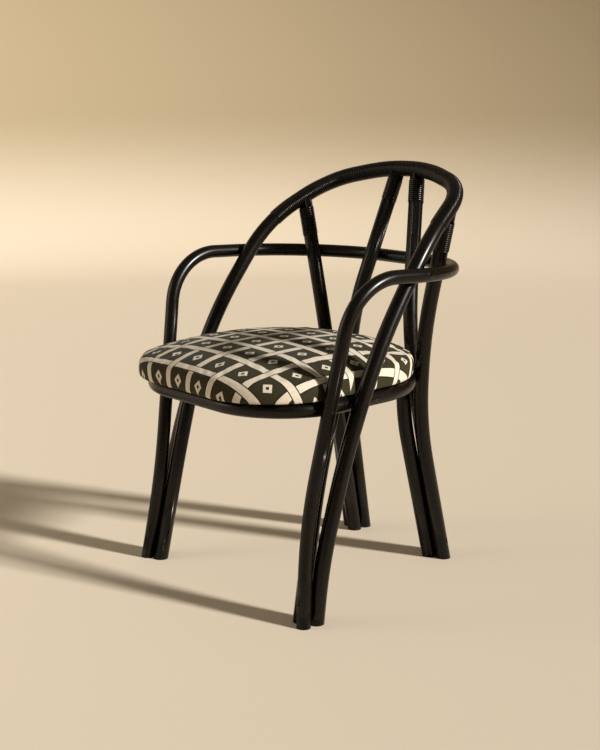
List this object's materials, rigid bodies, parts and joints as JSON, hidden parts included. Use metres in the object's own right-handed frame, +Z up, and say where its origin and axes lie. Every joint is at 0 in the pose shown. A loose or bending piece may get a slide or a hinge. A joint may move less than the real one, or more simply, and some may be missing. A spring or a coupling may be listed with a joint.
{
  "type": "dining armchair",
  "caption": "Bent-cane dining armchair: hoop back and wrap-round arm rail in black poles, bundled splayed legs, bound joints and a crowned upholstered seat pad.",
  "frame": {"origin": "middle of the footprint on the floor", "axes": "+Z up, front of the seat faces -Y, +X is the sitter's left"},
  "size_m": [0.5876, 0.6082, 0.8248],
  "materials": {
    "cane": "ebonised cane pole, satin lacquer",
    "binding": "split cane strand, black satin lacquer",
    "seat_fabric": "woven cotton, dark olive ground with a cream lattice print",
    "foam": "cushion filling",
    "board": "plywood",
    "dust_cloth": "black non-woven cloth",
    "screw_steel": "blackened steel"
  },
  "bodies": {
    "root": {"back_hoop": "cane", "arm_rail": "cane", "seat_ring": "cane", "rear_post_left": "cane", "rear_post_right": "cane", "back_spindle_left": "cane", "back_spindle_right": "cane", "rear_brace_left": "cane", "rear_brace_right": "cane", "front_brace_left": "cane", "front_brace_right": "cane", "hoop_binding": "binding", "rear_post_binding_left": "binding", "rear_post_binding_right": "binding", "spindle_binding_left": "binding", "spindle_binding_right": "binding", "seat_board": "board", "seat_foam": "foam", "seat_cover": "seat_fabric", "dust_cover": "dust_cloth", "hoop_screws": "screw_steel", "ring_screws": "screw_steel", "rail_screws": "screw_steel", "brace_screws": "screw_steel", "leg_screws": "screw_steel", "seat_screws": "screw_steel"}
  },
  "joints": []
}
